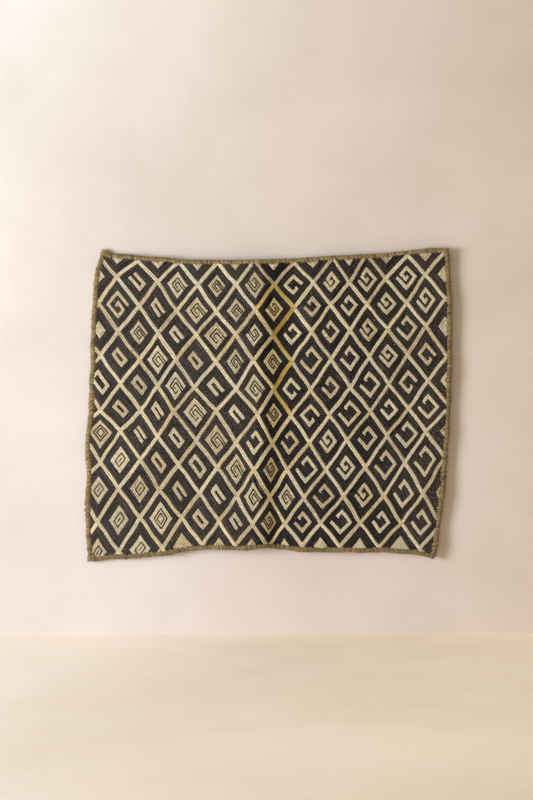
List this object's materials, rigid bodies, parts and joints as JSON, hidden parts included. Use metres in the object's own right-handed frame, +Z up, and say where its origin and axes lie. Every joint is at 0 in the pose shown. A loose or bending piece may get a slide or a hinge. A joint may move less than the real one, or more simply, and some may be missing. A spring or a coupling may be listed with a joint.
{
  "type": "kuba raffia cloth",
  "caption": "Embroidered raffia panel with a rolled hem, hung flat on a wall with a soft fold down its middle.",
  "frame": {"origin": "on the wall plane, level with the middle of the cloth's top edge", "axes": "+Z up, +X to the right along the cloth's width as seen from the front, +Y into the wall; the cloth faces -Y"},
  "size_m": [0.6026, 0.0274, 0.5162],
  "materials": {
    "raffia_cloth": "plain woven raffia, matt, dry to the touch",
    "dark_raffia": "embroidery stitches of raffia dyed brown-black, low sheen",
    "pale_raffia": "embroidery stitches of undyed raffia, low sheen",
    "ochre_raffia": "embroidery stitches of raffia dyed ochre, low sheen",
    "hem_raffia": "whip stitches of olive-brown raffia over the rolled hem, matt"
  },
  "bodies": {
    "root": {"raffia_cloth": "raffia_cloth"}
  },
  "joints": []
}
